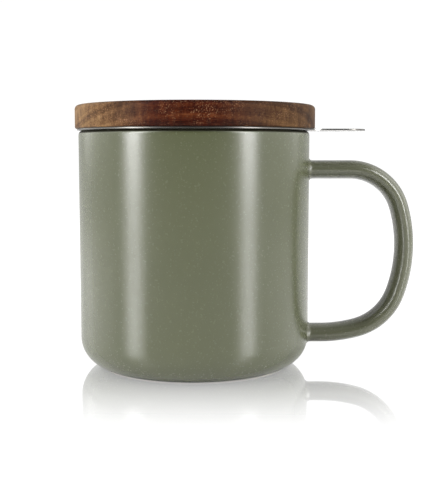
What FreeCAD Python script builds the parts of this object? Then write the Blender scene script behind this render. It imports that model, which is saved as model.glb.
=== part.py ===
import FreeCAD, Part
import math
import os
import Sketcher

# Lidded tea mug with infuser, in millimetres.
# The mug stands on the table at height 0 with its axis on Z, and its handle points along +X.

doc = FreeCAD.newDocument("tea_mug")
sheet = doc.addObject("Spreadsheet::Sheet", "Sizes")

# Driving dimensions, each written once: name, value, meaning.
SIZES = [
    ("mug_radius", 45.0, "outside radius of the mug's wall"),
    ("mug_height", 92.0, "table to the top of the rim"),
    ("mug_wall", 4.0, "thickness of the thrown wall"),
    ("mug_floor", 6.0, "thickness of the floor above the foot's recess"),
    ("base_corner", 11.6, "radius of the round from wall to foot"),
    ("well_corner", 8.0, "radius of the round from inside wall to floor"),
    ("rim_outer_round", 1.8, "round on the outside of the rim"),
    ("rim_inner_round", 1.2, "round on the inside of the rim"),
    ("foot_width", 4.9, "width of the flat ring that stands on the table"),
    ("foot_recess", 1.4, "how far the underside is hollowed inside the foot ring"),
    ("foot_round", 0.5, "round on the foot ring's inner edge"),
    ("handle_top", 77.0, "height of the middle of the handle's top run"),
    ("handle_straight", 16.2, "straight run from the mug's wall to the first bend"),
    ("handle_thickness", 7.2, "section of the handle across its bend"),
    ("handle_width", 13.0, "section of the handle from side to side"),
    ("upper_bend", 20.3, "radius of the handle's upper corner"),
    ("upper_angle", 73.1, "degrees turned in the upper corner"),
    ("side_bend", 55.0, "radius of the handle's long side"),
    ("side_angle", 36.7, "degrees turned along the long side"),
    ("lower_bend", 22.4, "radius of the handle's lower corner"),
    ("lower_angle", 55.4, "degrees turned in the lower corner"),
    ("return_bend", 56.0, "radius of the sweep back to the wall"),
    ("joint_flare", 1.8, "how much the handle swells where it is luted on"),
    ("joint_reach", 5.0, "how far from the wall the swelling fades out"),
    ("steel", 0.7, "thickness of the infuser's stamped rim"),
    ("flange_overhang", 0.5, "how far the infuser's flange stands out past the mug's wall"),
    ("neck_clearance", 1.4, "play between the infuser's neck and the mug's bore"),
    ("neck_depth", 9.0, "rim of the mug down to the shoulder under the neck"),
    ("neck_bend", 1.6, "outside bend from flange to neck"),
    ("shoulder_drop", 2.4, "height of the sloping shoulder"),
    ("lip_depth", 5.0, "height of the lip that holds the sleeve"),
    ("tab_length", 21.2, "flange's edge to the end of the grip tab"),
    ("tab_width", 20.0, "width of the grip tab"),
    ("tab_corner", 8.5, "round at the tab's free corners"),
    ("tab_flare", 8.0, "hollow round where the tab leaves the flange"),
    ("shoulder_width", 2.8, "neck's outside in to the perforated sleeve's outside"),
    ("sheet_steel", 0.4, "thickness of the perforated sheet"),
    ("sleeve_bottom", 22.0, "table to the bottom of the infuser"),
    ("hole_radius", 1.1, "radius of a punched hole in the sleeve and the base"),
    ("hole_rows", 4, "rows of holes in each of the two staggered sets"),
    ("holes_round", 24, "holes round the sleeve in a row"),
    ("hole_margin", 8.0, "plain sheet left below the lowest row and above the highest"),
    ("base_cup", 2.0, "height of the upturned edge of the infuser's base"),
    ("base_bend", 1.2, "outside bend of the base's edge"),
    ("base_rings", 4, "rings of holes in the base"),
    ("base_margin", 6.8, "sleeve's outside to the outermost ring of holes"),
    ("lid_overhang", 1.2, "how far the lid stands out past the flange"),
    ("lid_thickness", 9.0, "thickness of the wooden lid above the flange"),
    ("lid_top_round", 1.6, "round on the lid's top edge"),
    ("lid_edge_round", 0.7, "round on the lid's lower edge"),
    ("lid_shift", 0.4, "how far the lid rests towards the handle, within the play of its seal"),
    ("plug_depth", 6.0, "depth of the turned step under the lid"),
    ("plug_clearance", 1.4, "play between the turned step and the neck"),
    ("plug_round", 0.6, "round on the step's lower edge"),
    ("groove_depth", 1.8, "depth of the seal's groove in the step"),
    ("groove_height", 3.0, "height of the seal's groove"),
    ("groove_rise", 1.5, "step's lower face up to the groove"),
    ("seal_clearance", 0.7, "play between the seal and the neck"),
    ("seal_round", 0.9, "round on the seal's outer edges"),
]
for row, (name, value, meaning) in enumerate(SIZES, start=1):
    sheet.set(f"A{row}", name)
    sheet.set(f"B{row}", str(value))
    sheet.set(f"C{row}", meaning)
    sheet.setAlias(f"B{row}", name)
doc.recompute()


def size(name):
    """A driving dimension, as a plain number."""
    return float(sheet.get(name))


def formula(text):
    """An expression on the sheet, from words in which every name is a size."""
    return " ".join("Sizes." + word if word[0].isalpha() else word for word in text.split())


def number(text):
    """The value that such words give now."""
    filled = " ".join(str(size(word)) if word[0].isalpha() else word for word in text.split())
    return FreeCAD.Units.parseQuantity(filled).Value


def new_body(name):
    """A body whose label names its file."""
    body = doc.addObject("PartDesign::Body", name)
    body.Label = name
    return body


def new_sketch(body, name, role, offset=None):
    """A sketch on one of the body's own planes, moved along that plane's normal."""
    plane = next(item for item in body.Origin.OriginFeatures if item.Role == role)
    sketch = body.newObject("Sketcher::SketchObject", name)
    sketch.AttachmentSupport = (plane, [""])
    sketch.MapMode = "FlatFace"
    if offset:
        sketch.setExpression("AttachmentOffset.Base.z", formula(offset))
    return sketch


def bind(sketch, constraint, name, text):
    """Add a dimension to a sketch and tie it to the sheet."""
    index = sketch.addConstraint(constraint)
    sketch.renameConstraint(index, name)
    sketch.setExpression("Constraints." + name, formula(text))


def place_point(sketch, geometry, end, name, across, up):
    """Hold one end of a line at a distance across and up from the origin."""
    for kind, axis, text in (("DistanceX", -2, across), ("DistanceY", -1, up)):
        if text == "0":
            sketch.addConstraint(Sketcher.Constraint("PointOnObject", geometry, end, axis))
        else:
            dimension = Sketcher.Constraint(kind, -1, 1, geometry, end, number(text))
            bind(sketch, dimension, name + ("_across" if kind == "DistanceX" else "_up"), text)


def polygon(sketch, corners):
    """A closed outline of straight lines through corners given as formulas."""
    points = [FreeCAD.Vector(number(across), number(up), 0) for across, up in corners]
    for index, start in enumerate(points):
        sketch.addGeometry(Part.LineSegment(start, points[(index + 1) % len(points)]))
    for index, (across, up) in enumerate(corners):
        before = (index - 1) % len(corners)
        sketch.addConstraint(Sketcher.Constraint("Coincident", before, 2, index, 1))
        place_point(sketch, index, 1, f"corner{index}", across, up)


def revolve(body, name, corners, groove=False):
    """Turn an outline round the Z axis, to add it to the body or to cut it away."""
    sketch = new_sketch(body, name + "_outline", "XZ_Plane")
    polygon(sketch, corners)
    return turn(body, name, sketch, groove)


def turn(body, name, sketch, groove=False):
    """Revolve a finished sketch round its own upright axis."""
    kind = "PartDesign::Groove" if groove else "PartDesign::Revolution"
    feature = body.newObject(kind, name)
    feature.Profile = sketch
    feature.ReferenceAxis = (sketch, ["V_Axis"])
    feature.Angle = 360
    doc.recompute()
    return feature


def cup_sketch(body, name, radius, bottom, corner, top):
    """Half a round-cornered cup: flat floor, quarter round, upright wall, and its axis."""
    sketch = new_sketch(body, name, "XZ_Plane")
    wide, low, bend, high = (number(text) for text in (radius, bottom, corner, top))
    quarter = Part.Circle(FreeCAD.Vector(wide - bend, low + bend, 0), FreeCAD.Vector(0, 0, 1), bend)
    spots = {
        "middle": FreeCAD.Vector(0, low, 0),
        "floor_end": FreeCAD.Vector(wide - bend, low, 0),
        "wall_start": FreeCAD.Vector(wide, low + bend, 0),
        "wall_end": FreeCAD.Vector(wide, high, 0),
        "top_middle": FreeCAD.Vector(0, high, 0),
    }
    floor, bend_arc, wall, lid, axis = sketch.addGeometry([
        Part.LineSegment(spots["middle"], spots["floor_end"]),
        Part.ArcOfCircle(quarter, -math.pi / 2, 0),
        Part.LineSegment(spots["wall_start"], spots["wall_end"]),
        Part.LineSegment(spots["wall_end"], spots["top_middle"]),
        Part.LineSegment(spots["top_middle"], spots["middle"]),
    ])
    sketch.addConstraint([
        Sketcher.Constraint("Tangent", floor, 2, bend_arc, 1),
        Sketcher.Constraint("Tangent", bend_arc, 2, wall, 1),
        Sketcher.Constraint("Coincident", wall, 2, lid, 1),
        Sketcher.Constraint("Coincident", lid, 2, axis, 1),
        Sketcher.Constraint("Coincident", axis, 2, floor, 1),
        Sketcher.Constraint("Horizontal", floor),
        Sketcher.Constraint("Vertical", wall),
        Sketcher.Constraint("Horizontal", lid),
    ])
    bind(sketch, Sketcher.Constraint("Radius", bend_arc, bend), "corner", corner)
    place_point(sketch, axis, 2, "floor", "0", bottom)
    place_point(sketch, axis, 1, "brim", "0", top)
    bind(sketch, Sketcher.Constraint("DistanceX", -1, 1, wall, 2, wide), "radius", radius)
    return sketch


def ring_edges(feature, radius, height):
    """Names of the circular edges round Z with this radius at this height."""
    found = []
    for index, edge in enumerate(feature.Shape.Edges, start=1):
        box = edge.BoundBox
        level = abs(box.ZMin - number(height)) < 1e-4 and abs(box.ZMax - number(height)) < 1e-4
        if level and abs(box.XMax - number(radius)) < 1e-4:
            found.append(f"Edge{index}")
    return found


def round_edges(body, name, base, edges, radius):
    """Round the named edges of a feature by a radius from the sheet."""
    if not edges:
        raise RuntimeError(name + " found no edge to round")
    fillet = body.newObject("PartDesign::Fillet", name)
    fillet.Base = (base, edges)
    fillet.setExpression("Radius", formula(radius))
    doc.recompute()
    return fillet


# Mug body: stoneware, thrown or pressed in one piece with a round-cornered base and a foot ring.
# The rim is rounded both ways, with a narrow flat on top where the infuser's flange rests.
well_floor = "foot_recess + mug_floor"
bore = "mug_radius - mug_wall"
foot_radius = "mug_radius - base_corner - foot_width"
mug = new_body("mug_body")
mug_outside = cup_sketch(mug, "mug_outline", "mug_radius", "0", "base_corner", "mug_height")
mug_solid = turn(mug, "mug_solid", mug_outside)
well = cup_sketch(mug, "well_outline", bore, well_floor, "well_corner", "mug_height")
mug_hollow = turn(mug, "mug_well", well, groove=True)
recess = [
    ("0", "0"),
    (foot_radius, "0"),
    (foot_radius, "foot_recess"),
    ("0", "foot_recess"),
]
mug_footed = revolve(mug, "mug_foot_recess", recess, groove=True)
outer_lip = ring_edges(mug_footed, "mug_radius", "mug_height")
mug_lipped = round_edges(mug, "rim_outside", mug_footed, outer_lip, "rim_outer_round")
inner_lip = ring_edges(mug_lipped, bore, "mug_height")
mug_rimmed = round_edges(mug, "rim_inside", mug_lipped, inner_lip, "rim_inner_round")
foot_edge = ring_edges(mug_rimmed, foot_radius, "0")
round_edges(mug, "foot_edge", mug_rimmed, foot_edge, "foot_round")


# Mug handle: an oval strap of the same clay, bent in four tangent arcs and luted to the wall.
# Its two ends swell a little and follow the outside of the mug exactly.
def handle_path(body):
    """Top run, four clockwise bends and a short run back, all tangent, in the plane of the handle."""
    sketch = new_sketch(body, "handle_path", "XZ_Plane")
    root, bend_start = "mug_radius - 0.5 * mug_wall", "mug_radius + handle_straight"
    bends = [("upper_bend", "upper_angle"), ("side_bend", "side_angle"), ("lower_bend", "lower_angle")]
    turned = sum(size(angle_name) for _, angle_name in bends)
    spot = FreeCAD.Vector(number(bend_start), size("handle_top"), 0)
    start = FreeCAD.Vector(number(root), size("handle_top"), 0)
    sketch.addGeometry(Part.LineSegment(start, spot))
    heading = 90.0
    radii = [size(bend) for bend, _ in bends] + [size("return_bend")]
    turns = [size(angle_name) for _, angle_name in bends] + [180 - turned]
    for radius, degrees in zip(radii, turns):
        high_angle, low_angle = math.radians(heading), math.radians(heading - degrees)
        centre = spot - FreeCAD.Vector(math.cos(high_angle), math.sin(high_angle), 0) * radius
        circle = Part.Circle(centre, FreeCAD.Vector(0, 0, 1), radius)
        sketch.addGeometry(Part.ArcOfCircle(circle, low_angle, high_angle))
        heading -= degrees
        spot = centre + FreeCAD.Vector(math.cos(low_angle), math.sin(low_angle), 0) * radius
    sketch.addGeometry(Part.LineSegment(spot, FreeCAD.Vector(number(root), spot.y, 0)))
    sketch.addConstraint(Sketcher.Constraint("Horizontal", 0))
    sketch.addConstraint(Sketcher.Constraint("Tangent", 0, 2, 1, 2))
    for arc in (1, 2, 3):
        sketch.addConstraint(Sketcher.Constraint("Tangent", arc, 1, arc + 1, 2))
    sketch.addConstraint(Sketcher.Constraint("Tangent", 4, 1, 5, 1))
    sketch.addConstraint(Sketcher.Constraint("Horizontal", 5))
    place_point(sketch, 0, 1, "root", root, "handle_top")
    top_run = Sketcher.Constraint("DistanceX", -1, 1, 0, 2, number(bend_start))
    return_run = Sketcher.Constraint("DistanceX", -1, 1, 5, 2, number(root))
    bind(sketch, top_run, "top_run", bend_start)
    bind(sketch, return_run, "return_run", root)
    for arc, (bend, angle_name) in enumerate(bends, start=1):
        bind(sketch, Sketcher.Constraint("Radius", arc, size(bend)), bend, bend)
        span = math.radians(size(angle_name))
        bind(sketch, Sketcher.Constraint("Angle", arc, span), angle_name, angle_name)
    bind(sketch, Sketcher.Constraint("Radius", 4, size("return_bend")), "return_bend", "return_bend")
    returning = Sketcher.Constraint("DistanceY", -1, 1, 5, 2, spot.y)
    index = sketch.addConstraint(returning)
    sketch.setDriving(index, False)
    sketch.renameConstraint(index, "return_height")
    return sketch


def oval(body, name, offset, height, half_width, half_thickness):
    """An ellipse across the handle, its long axis sideways, centred at one of the path's heights."""
    sketch = new_sketch(body, name, "YZ_Plane", offset)
    wide, thick = number(half_width), number(half_thickness)
    level = path.getDatum(height).Value
    centre = FreeCAD.Vector(0, level, 0)
    side = centre + FreeCAD.Vector(wide, 0, 0)
    top = centre + FreeCAD.Vector(0, thick, 0)
    sketch.addGeometry(Part.Ellipse(side, top, centre))
    sketch.exposeInternalGeometry(0)
    sketch.addConstraint(Sketcher.Constraint("PointOnObject", 0, 3, -2))
    sketch.addConstraint(Sketcher.Constraint("Horizontal", 1))
    long_axis = Sketcher.Constraint("Distance", 1, 1, 1, 2, 2 * wide)
    short_axis = Sketcher.Constraint("Distance", 2, 1, 2, 2, 2 * thick)
    bind(sketch, long_axis, "wide", f"2 * ( {half_width} )")
    bind(sketch, short_axis, "thick", f"2 * ( {half_thickness} )")
    index = sketch.addConstraint(Sketcher.Constraint("DistanceY", -1, 1, 0, 3, level))
    sketch.renameConstraint(index, "level")
    sketch.setExpression("Constraints.level", "handle_path.Constraints." + height)
    return sketch


def swelling(body, name, height):
    """The strap's end growing towards the wall, lofted through three ovals."""
    grown = {
        "mug_radius - 0.5 * mug_wall": "joint_flare",
        "mug_radius + 0.3 * joint_reach": "0.3 * joint_flare",
        "mug_radius + joint_reach": "0 * joint_flare",
    }
    ovals = []
    for index, (distance, grow) in enumerate(grown.items()):
        wide, thick = f"{half_wide} + {grow}", f"{half_thick} + {grow}"
        ovals.append(oval(body, f"{name}_oval{index}", distance, height, wide, thick))
    doc.recompute()
    loft = body.newObject("PartDesign::AdditiveLoft", name)
    loft.Profile = ovals[0]
    loft.Sections = ovals[1:]
    doc.recompute()


handle = new_body("mug_handle")
path = handle_path(handle)
doc.recompute()
half_wide, half_thick = "0.5 * handle_width", "0.5 * handle_thickness"
root_plane = "mug_radius - 0.5 * mug_wall"
section = oval(handle, "handle_section", root_plane, "root_up", half_wide, half_thick)
doc.recompute()
strap = handle.newObject("PartDesign::AdditivePipe", "handle_strap")
strap.Profile = section
strap.Spine = (path, [])
doc.recompute()
swelling(handle, "upper_joint", "root_up")
swelling(handle, "lower_joint", "return_height")
seat = cup_sketch(handle, "handle_seat_outline", "mug_radius", "0", "base_corner", "mug_height")
turn(handle, "handle_seat", seat, groove=True)

# Infuser rim: one stamped stainless piece, with a flat flange that rests on the mug's rim,
# a straight neck, a sloping shoulder, a lip for the sleeve, and a grip tab over the handle.
flange_top = "mug_height + steel"
flange_radius = "mug_radius + flange_overhang"
neck_radius = "mug_radius - mug_wall - neck_clearance"
neck_bore = f"{neck_radius} - steel"
sleeve_radius = f"{neck_radius} - shoulder_width"
tab_reach = f"{flange_radius} + tab_length"
shoulder = "mug_height - neck_depth"
lip_top = f"{shoulder} - shoulder_drop"
lip_bottom = f"{lip_top} - lip_depth"
rim = new_body("infuser_rim")
revolve(rim, "rim_stamping", [
    (sleeve_radius, lip_bottom),
    (f"{sleeve_radius} + steel", lip_bottom),
    (f"{sleeve_radius} + steel", lip_top),
    (neck_radius, shoulder),
    (neck_radius, "mug_height"),
    (flange_radius, "mug_height"),
    (flange_radius, flange_top),
    (neck_bore, flange_top),
    (neck_bore, shoulder),
    (sleeve_radius, lip_top),
])


def tab_outline(body):
    """The tab's plain rectangle, from inside the flange to its free end."""
    sketch = new_sketch(body, "tab_outline", "XY_Plane", "mug_height")
    half, minus_half = "0.5 * tab_width", "-0.5 * tab_width"
    root = f"0.5 * ( {neck_radius} + {flange_radius} )"
    polygon(sketch, [(root, minus_half), (tab_reach, minus_half), (tab_reach, half), (root, half)])
    return sketch


def upright_edges(feature, across, along, low):
    """Names of the upright edges of sheet thickness that stand at (across, +-along)."""
    found = []
    for index, edge in enumerate(feature.Shape.Edges, start=1):
        box = edge.BoundBox
        stands = box.ZLength > 0.5 * size("steel") and box.XLength + box.YLength < 1e-4
        here = abs(box.XMin - across) < 1e-3 and abs(abs(box.YMin) - along) < 1e-3
        if stands and here and box.ZMin > number(low) - 1e-4:
            found.append(f"Edge{index}")
    return found


tab = rim.newObject("PartDesign::Pad", "grip_tab")
tab.Profile = tab_outline(rim)
tab.setExpression("Length", formula("steel"))
doc.recompute()
half_tab = 0.5 * size("tab_width")
tab_root = math.sqrt(number(flange_radius) ** 2 - half_tab ** 2)
free_corners = upright_edges(tab, number(tab_reach), half_tab, "mug_height")
tab_rounded = round_edges(rim, "tab_corners", tab, free_corners, "tab_corner")
root_corners = upright_edges(tab_rounded, tab_root, half_tab, "mug_height")
tab_flared = round_edges(rim, "tab_flares", tab_rounded, root_corners, "tab_flare")
outer_bend = ring_edges(tab_flared, neck_radius, "mug_height")
neck_outside = round_edges(rim, "neck_outer_bend", tab_flared, outer_bend, "neck_bend")
inner_bend = ring_edges(neck_outside, neck_bore, flange_top)
round_edges(rim, "neck_inner_bend", neck_outside, inner_bend, "neck_bend + steel")


# Infuser sleeve: perforated stainless sheet rolled into a tube and welded inside the rim's lip.
sleeve_bore = f"{sleeve_radius} - sheet_steel"
row_step = f"( {lip_bottom} - sleeve_bottom - 2 * hole_margin ) / ( 2 * hole_rows - 1 )"
first_row = "sleeve_bottom + hole_margin"
sleeve = new_body("infuser_sleeve")
revolve(sleeve, "sleeve_tube", [
    (sleeve_bore, "sleeve_bottom"),
    (sleeve_radius, "sleeve_bottom"),
    (sleeve_radius, lip_top),
    (sleeve_bore, lip_top),
])


def round_hole(body, sketch, name, distance, axis):
    """One punched hole at a distance from the origin along one of the sketch's axes."""
    spot = FreeCAD.Vector(number(distance), 0, 0) if axis == "X" else FreeCAD.Vector(0, number(distance), 0)
    sketch.addGeometry(Part.Circle(spot, FreeCAD.Vector(0, 0, 1), size("hole_radius")))
    sketch.addConstraint(Sketcher.Constraint("PointOnObject", 0, 3, -1 if axis == "X" else -2))
    away = Sketcher.Constraint("Distance" + axis, -1, 1, 0, 3, number(distance))
    bind(sketch, away, "distance", distance)
    bind(sketch, Sketcher.Constraint("Radius", 0, size("hole_radius")), "radius", "hole_radius")
    hole = body.newObject("PartDesign::Pocket", name + "_punch")
    hole.Profile = sketch
    hole.Reversed = True
    hole.Type = "Length"
    hole.setExpression("Length", formula("4 * sheet_steel"))
    return hole


def all_round(body, kind, name):
    """A pattern round the body's own Z axis."""
    around = body.newObject(kind, name)
    z_axis = next(item for item in body.Origin.OriginFeatures if item.Role == "Z_Axis")
    around.Axis = (z_axis, [""])
    around.Angle = 360
    return around


def punched_rows(body, name, first_height, turned):
    """One hole through the wall, repeated up the wall and then all the way round it."""
    sketch = new_sketch(body, name + "_hole", "YZ_Plane")
    upright = FreeCAD.Rotation(FreeCAD.Vector(0, 1, 0), 1)
    sketch.AttachmentOffset = FreeCAD.Placement(FreeCAD.Vector(0, 0, 0), upright)
    inside, angle = formula(f"( {sleeve_radius} - 2 * sheet_steel )"), formula(turned)
    sketch.setExpression("AttachmentOffset.Base.x", f"{inside} * sin( {angle} )")
    sketch.setExpression("AttachmentOffset.Base.z", f"{inside} * cos( {angle} )")
    sketch.setExpression("AttachmentOffset.Rotation.Angle", angle)
    hole = round_hole(body, sketch, name, first_height, "Y")
    doc.recompute()
    upward = body.newObject("PartDesign::LinearPattern", name + "_up")
    upward.Direction = (sketch, ["V_Axis"])
    upward.setExpression("Length", formula(f"2 * {row_step} * ( hole_rows - 1 )"))
    upward.setExpression("Occurrences", "Sizes.hole_rows")
    around = all_round(body, "PartDesign::PolarPattern", name + "_around")
    around.setExpression("Occurrences", "Sizes.holes_round")
    both = body.newObject("PartDesign::MultiTransform", name)
    both.Originals = [hole]
    both.Transformations = [upward, around]
    both.Refine = False
    body.Tip = both
    doc.recompute()


punched_rows(sleeve, "even_rows", first_row, "0")
punched_rows(sleeve, "odd_rows", f"{first_row} + {row_step}", "180 / holes_round")


# Infuser base: a shallow stamped cup of the same sheet, pressed into the sleeve's lower end and welded.
cup_bore = f"{sleeve_radius} - 2 * sheet_steel"
cup_floor = "sleeve_bottom + sheet_steel"
base = new_body("infuser_base")
cup = revolve(base, "base_stamping", [
    ("0", "sleeve_bottom"),
    (sleeve_bore, "sleeve_bottom"),
    (sleeve_bore, "sleeve_bottom + base_cup"),
    (cup_bore, "sleeve_bottom + base_cup"),
    (cup_bore, cup_floor),
    ("0", cup_floor),
])
cup_edge = ring_edges(cup, sleeve_bore, "sleeve_bottom")
cup_bent = round_edges(base, "base_outer_bend", cup, cup_edge, "base_bend")
cup_inner = ring_edges(cup_bent, cup_bore, cup_floor)
round_edges(base, "base_inner_bend", cup_bent, cup_inner, "base_bend - sheet_steel")


def ring_of_holes(body, ring):
    """A ring of holes through the base, six more in each ring than in the one inside it."""
    name = f"base_ring{ring}"
    sketch = new_sketch(body, name + "_hole", "XY_Plane", "sleeve_bottom - sheet_steel")
    distance = f"{ring} * ( {sleeve_radius} - base_margin ) / base_rings"
    hole = round_hole(body, sketch, name, distance, "X")
    doc.recompute()
    around = all_round(body, "PartDesign::PolarPattern", name)
    around.Originals = [hole]
    around.Occurrences = 6 * ring
    around.Refine = False
    body.Tip = around
    doc.recompute()


for ring in range(1, int(size("base_rings")) + 1):
    ring_of_holes(base, ring)


# Lid: one turned disc of acacia. A shallow step underneath drops into the infuser's neck,
# and a groove round the step holds the seal.
lid_radius = f"{flange_radius} + lid_overhang"
plug_radius = f"{neck_bore} - plug_clearance"
groove_radius = f"{neck_bore} - plug_clearance - groove_depth"
plug_bottom = f"{flange_top} - plug_depth"
groove_bottom = f"{plug_bottom} + groove_rise"
groove_top = f"{groove_bottom} + groove_height"
lid_top = f"{flange_top} + lid_thickness"
lid = new_body("lid_disc")
lid_turned = revolve(lid, "lid_turning", [
    ("0", plug_bottom),
    (plug_radius, plug_bottom),
    (plug_radius, groove_bottom),
    (groove_radius, groove_bottom),
    (groove_radius, groove_top),
    (plug_radius, groove_top),
    (plug_radius, flange_top),
    (lid_radius, flange_top),
    (lid_radius, lid_top),
    ("0", lid_top),
])
lid_rounded = round_edges(
    lid, "lid_top_edge", lid_turned, ring_edges(lid_turned, lid_radius, lid_top), "lid_top_round"
)
lid_softened = round_edges(
    lid, "lid_lower_edge", lid_rounded, ring_edges(lid_rounded, lid_radius, flange_top), "lid_edge_round"
)
round_edges(
    lid, "plug_edge", lid_softened, ring_edges(lid_softened, plug_radius, plug_bottom), "plug_round"
)

# Seal: a moulded silicone ring stretched into the lid's groove, standing a little proud of the step.
seal = new_body("lid_seal")
seal_outer = f"{neck_bore} - seal_clearance"
seal_ring = revolve(seal, "seal_ring", [
    (groove_radius, groove_bottom),
    (seal_outer, groove_bottom),
    (seal_outer, groove_top),
    (groove_radius, groove_top),
])
seal_edges = ring_edges(seal_ring, seal_outer, groove_bottom) + ring_edges(seal_ring, seal_outer, groove_top)
round_edges(seal, "seal_edges", seal_ring, seal_edges, "seal_round")
for body in (lid, seal):
    body.setExpression("Placement.Base.x", formula("lid_shift"))
doc.recompute()

# Every object of the document is sound, and every piece is one closed, valid solid.
pieces = [item for item in doc.Objects if item.TypeId == "PartDesign::Body"]
for item in doc.Objects:
    if "Invalid" in item.State or "Error" in item.State:
        raise RuntimeError(f"{item.Name} failed: {item.State}")
for piece in pieces:
    if piece.Shape.isNull() or not piece.Shape.isValid() or len(piece.Shape.Solids) != 1:
        raise RuntimeError(piece.Label + " is not one valid solid")
os.makedirs("parts", exist_ok=True)
for piece in pieces:
    piece.Shape.exportStep(f"parts/{piece.Label}.step")
    print(piece.Label, round(piece.Shape.Volume, 1), "cubic millimetres")
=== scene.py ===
"""A stoneware tea mug with a lift-out steel infuser and a loose wooden lid.

Sections follow the object as it is put together: mug body, handle, infuser rim, sleeve, base,
lid, seal. The stage, the lights and the camera come first. Lengths are in metres.
"""
import math

import bmesh
import bpy
import numpy as np
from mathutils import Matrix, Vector
from mathutils.geometry import delaunay_2d_cdt


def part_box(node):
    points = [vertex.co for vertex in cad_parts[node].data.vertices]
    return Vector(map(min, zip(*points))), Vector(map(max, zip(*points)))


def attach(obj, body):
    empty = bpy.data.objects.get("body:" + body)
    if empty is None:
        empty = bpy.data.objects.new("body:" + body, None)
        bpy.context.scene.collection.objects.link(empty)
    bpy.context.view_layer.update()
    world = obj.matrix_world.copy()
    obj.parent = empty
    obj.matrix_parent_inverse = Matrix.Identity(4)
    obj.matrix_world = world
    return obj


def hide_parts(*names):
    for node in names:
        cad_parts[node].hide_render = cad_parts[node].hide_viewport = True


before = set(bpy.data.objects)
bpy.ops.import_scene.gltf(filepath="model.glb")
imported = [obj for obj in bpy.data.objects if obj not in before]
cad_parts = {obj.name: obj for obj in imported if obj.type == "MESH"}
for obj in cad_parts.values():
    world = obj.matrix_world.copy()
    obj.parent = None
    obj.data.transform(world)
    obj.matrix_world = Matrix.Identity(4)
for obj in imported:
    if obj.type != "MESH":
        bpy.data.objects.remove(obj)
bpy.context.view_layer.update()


# Camera: on the mug's front, a little above the rim's height and tilted down, with the handle
# to its right. It looks from where the photograph was taken.
camera_distance = 0.3685
camera_right = 0.0095
camera_height = 0.0836
camera_tilt = 0.1015
camera_data = bpy.data.cameras.new("camera")
camera_data.sensor_fit = "VERTICAL"
camera_data.sensor_height = 36.0
camera_data.lens = 67.8
camera_data.dof.use_dof = False
camera = bpy.data.objects.new("camera", camera_data)
camera.location = (camera_right, -camera_distance, camera_height)
camera.rotation_euler = (math.pi / 2 - camera_tilt, 0.0, 0.0)
bpy.context.scene.collection.objects.link(camera)
bpy.context.scene.camera = camera
bpy.context.scene.view_settings.view_transform = "Standard"


# Lights: two tall soft boxes either side of the camera draw the long highlights down the glaze,
# two large panels at the sides and a soft top light do the rest.
mug_middle = 0.05


def feed(tree, value, socket):
    """Give an input socket a plain value, or a link from another socket."""
    if isinstance(value, bpy.types.NodeSocket):
        tree.links.new(value, socket)
    else:
        socket.default_value = value


def add_node(tree, kind, **settings):
    """A node with its settings; a key such as in_Color feeds the input of that name."""
    made = tree.nodes.new(kind)
    for key, value in settings.items():
        if key.startswith("in_"):
            feed(tree, value, made.inputs[key[3:].replace("_", " ")])
        else:
            setattr(made, key, value)
    return made


def maths(tree, operation, *values, clamp=False):
    """A maths node fed by sockets or plain numbers; returns its output socket."""
    made = add_node(tree, "ShaderNodeMath", operation=operation, use_clamp=clamp)
    for value, socket in zip(values, made.inputs):
        feed(tree, value, socket)
    return made.outputs[0]


def mixed(tree, share, first, second):
    """The shader between two shaders by a share; returns its output socket."""
    made = add_node(tree, "ShaderNodeMixShader")
    for value, socket in zip((share, first, second), made.inputs):
        feed(tree, value, socket)
    return made.outputs[0]


def panel(name, azimuth, distance, height, width, tall, power):
    """A rectangular area light, azimuth degrees round from the camera's side, facing the mug."""
    light = bpy.data.lights.new(name, "AREA")
    light.shape = "RECTANGLE"
    light.size = width
    light.size_y = tall
    light.energy = power
    lamp = bpy.data.objects.new(name, light)
    turn = math.radians(azimuth)
    lamp.location = (math.sin(turn) * distance, -math.cos(turn) * distance, height)
    down = math.atan2(height - mug_middle, distance)
    lamp.rotation_euler = (math.pi / 2 - down, 0.0, turn)
    bpy.context.scene.collection.objects.link(lamp)
    return lamp


# name, azimuth, distance, height, width, tall, power in watts
panel("strip_left", -58.0, 0.9, 0.45, 0.27, 0.90, 17.0)
panel("strip_right", 54.0, 0.9, 0.45, 0.24, 0.90, 14.8)
panel("side_left", -107.0, 1.0, 0.60, 1.15, 1.2, 8.8)
panel("side_right", 98.0, 1.0, 0.60, 1.15, 1.2, 8.6)
top = panel("top", 0.0, 0.05, 1.1, 0.8, 0.8, 1.0)
top.rotation_euler = (0.05, 0.0, 0.0)


# World: the white room round the mug. It is full white where the camera or a sharp mirror looks
# straight at it, and a faint, slightly cool fill for every other ray.
def seen_straight(tree):
    """1 for a ray from the camera or a sharp mirror, and 0 for any other."""
    ray = add_node(tree, "ShaderNodeLightPath")
    return maths(tree, "MAXIMUM", ray.outputs["Is Camera Ray"], ray.outputs["Is Singular Ray"])


world = bpy.data.worlds.new("studio")
bpy.context.scene.world = world
world.use_nodes = True
sky = world.node_tree
sky.nodes.clear()
white = add_node(sky, "ShaderNodeBackground", in_Color=(1, 1, 1, 1), in_Strength=1.0)
fill = add_node(sky, "ShaderNodeBackground", in_Color=(0.97, 0.98, 1, 1), in_Strength=0.08)
sky_light = mixed(sky, seen_straight(sky), fill.outputs[0], white.outputs[0])
add_node(sky, "ShaderNodeOutputWorld", in_Surface=sky_light)


# Floor: a wide sheet of pale gloss acrylic, laid flat under the mug. It mirrors what stands on it,
# and the mirror fades out with distance from the foot and the handle, more slowly to the sides.
def new_material(name):
    """An empty material and its node tree, with an output."""
    material = bpy.data.materials.new(name)
    material.use_nodes = True
    material.node_tree.nodes.clear()
    output = material.node_tree.nodes.new("ShaderNodeOutputMaterial")
    return material, material.node_tree, output


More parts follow.
